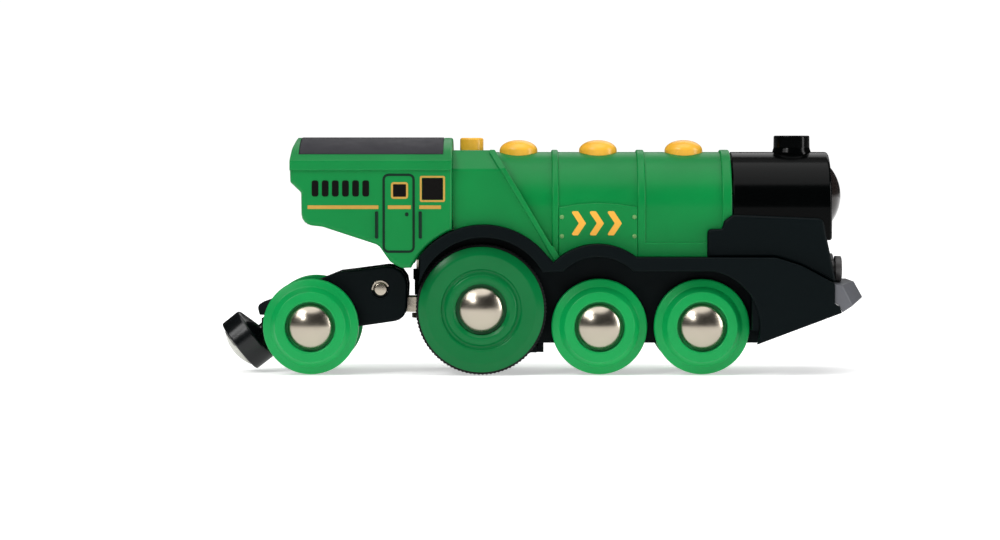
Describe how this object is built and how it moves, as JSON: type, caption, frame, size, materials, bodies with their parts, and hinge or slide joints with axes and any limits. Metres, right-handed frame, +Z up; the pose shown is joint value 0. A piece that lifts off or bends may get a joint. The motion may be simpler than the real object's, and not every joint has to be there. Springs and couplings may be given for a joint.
{
  "type": "toy train locomotive",
  "caption": "Toy steam locomotive for wooden track: green cab and boiler, black smokebox and chassis, push buttons, rubber-tyred drive wheels, trailing truck and magnetic coupler.",
  "frame": {"origin": "on the track surface under the middle of the overall length and width", "axes": "+X forward towards the smokebox, +Y to the left, +Z up"},
  "size_m": [0.1446, 0.034, 0.0534],
  "materials": {
    "green_moulding": "satin gloss",
    "wheel_green": "satin",
    "gloss_black": "high gloss",
    "matte_black": "fine matte",
    "roof_grey": "satin",
    "beam_grey": "satin",
    "button_orange": "satin gloss",
    "tyre_rubber": "matte",
    "steel": "polished",
    "magnet": "satin plating",
    "brass": "satin",
    "smoked_lens": "high gloss",
    "board": "satin",
    "gear_white": "satin",
    "cell_jacket": "satin"
  },
  "bodies": {
    "chassis": {"chassis_frame": "matte_black", "bottom_plate": "matte_black", "plate_screw_rear": "steel", "plate_screw_front": "steel", "saddle": "matte_black", "saddle_screw": "steel", "pivot_screw": "steel", "smokebox": "gloss_black", "smokebox_lens": "smoked_lens", "chimney": "gloss_black", "speaker": "gloss_black", "headlight_led": "gear_white", "boiler_shell": "green_moulding", "cab_shell": "green_moulding", "roof_panel": "roof_grey", "buffer_beam": "beam_grey", "front_lamp_left": "beam_grey", "front_lamp_right": "beam_grey", "motor": "steel", "gear_shaft": "steel", "battery_left": "cell_jacket", "battery_right": "cell_jacket", "battery_contact_rear": "steel", "battery_contact_front": "steel", "circuit_board": "board"},
    "drive_wheelset": {"drive_axle": "steel", "drive_axle_cap": "steel", "drive_wheel_left": "wheel_green", "drive_wheel_right": "wheel_green", "tyre_left": "tyre_rubber", "tyre_right": "tyre_rubber", "axle_gear": "gear_white"},
    "middle_wheelset": {"middle_axle": "steel", "middle_axle_cap": "steel", "middle_wheel_left": "wheel_green", "middle_wheel_right": "wheel_green"},
    "front_wheelset": {"front_axle": "steel", "front_axle_cap": "steel", "front_wheel_left": "wheel_green", "front_wheel_right": "wheel_green"},
    "idler": {"compound_gear": "gear_white"},
    "worm_shaft": {"worm": "brass"},
    "button_rear": {"button_rear": "button_orange"},
    "button_middle": {"button_middle": "button_orange"},
    "button_front": {"button_front": "button_orange"},
    "button_small": {"button_small": "button_orange"},
    "drawbar": {"drawbar": "steel"},
    "truck": {"truck_frame": "matte_black", "pitch_pin": "steel", "knuckle_pin": "steel"},
    "truck_wheelset": {"truck_axle": "steel", "truck_axle_cap": "steel", "truck_wheel_left": "wheel_green", "truck_wheel_right": "wheel_green"},
    "knuckle": {"knuckle": "matte_black", "coupler_pin": "steel"},
    "coupler": {"coupler_cup": "matte_black", "coupler_magnet": "magnet"}
  },
  "joints": [
    {"name": "drive_axle_spin", "type": "hinge", "parent": "chassis", "child": "drive_wheelset", "pos_m": [-0.0134, 0, 0.0146], "axis": [0, 1, 0], "continuous": true},
    {"name": "idler_spin", "type": "hinge", "parent": "chassis", "child": "idler", "pos_m": [-0.015, 0, 0.02584], "axis": [0, 1, 0], "continuous": true},
    {"name": "worm_spin", "type": "hinge", "parent": "chassis", "child": "worm_shaft", "pos_m": [-0.015, 0, 0.03659], "axis": [1, 0, 0], "continuous": true},
    {"name": "middle_axle_spin", "type": "hinge", "parent": "chassis", "child": "middle_wheelset", "pos_m": [0.013, 0, 0.0107], "axis": [0, 1, 0], "continuous": true},
    {"name": "front_axle_spin", "type": "hinge", "parent": "chassis", "child": "front_wheelset", "pos_m": [0.0359, 0, 0.0107], "axis": [0, 1, 0], "continuous": true},
    {"name": "drawbar_swing", "type": "hinge", "parent": "chassis", "child": "drawbar", "pos_m": [-0.027, 0, 0.0153], "axis": [0, 0, 1], "range_deg": [-20, 20]},
    {"name": "truck_pitch", "type": "hinge", "parent": "drawbar", "child": "truck", "pos_m": [-0.036, 0, 0.0189], "axis": [0, 1, 0], "range_deg": [-7, 7]},
    {"name": "truck_axle_spin", "type": "hinge", "parent": "truck", "child": "truck_wheelset", "pos_m": [-0.0515, 0, 0.0107], "axis": [0, 1, 0], "continuous": true},
    {"name": "coupler_swing", "type": "hinge", "parent": "truck", "child": "knuckle", "pos_m": [-0.0592, 0, 0.011], "axis": [0, 0, 1], "range_deg": [-15, 15]},
    {"name": "coupler_lift", "type": "hinge", "parent": "knuckle", "child": "coupler", "pos_m": [-0.0619, 0, 0.0106], "axis": [0, 1, 0], "range_deg": [0, 33]},
    {"name": "button_rear_press", "type": "slide", "parent": "chassis", "child": "button_rear", "axis": [0, 0, -1], "range_m": [0, 0.001], "stiffness_N_per_m": 300, "springref_m": -0.0008},
    {"name": "button_middle_press", "type": "slide", "parent": "chassis", "child": "button_middle", "axis": [0, 0, -1], "range_m": [0, 0.001], "stiffness_N_per_m": 300, "springref_m": -0.0008},
    {"name": "button_front_press", "type": "slide", "parent": "chassis", "child": "button_front", "axis": [0, 0, -1], "range_m": [0, 0.001], "stiffness_N_per_m": 300, "springref_m": -0.0008},
    {"name": "button_small_press", "type": "slide", "parent": "chassis", "child": "button_small", "axis": [0, 0, -1], "range_m": [0, 0.001], "stiffness_N_per_m": 300, "springref_m": -0.0008}
  ],
  "couplings": [
    {"joint": "idler_spin", "follows": "drive_axle_spin", "ratio": -1.8},
    {"joint": "worm_spin", "follows": "drive_axle_spin", "ratio": 36}
  ]
}
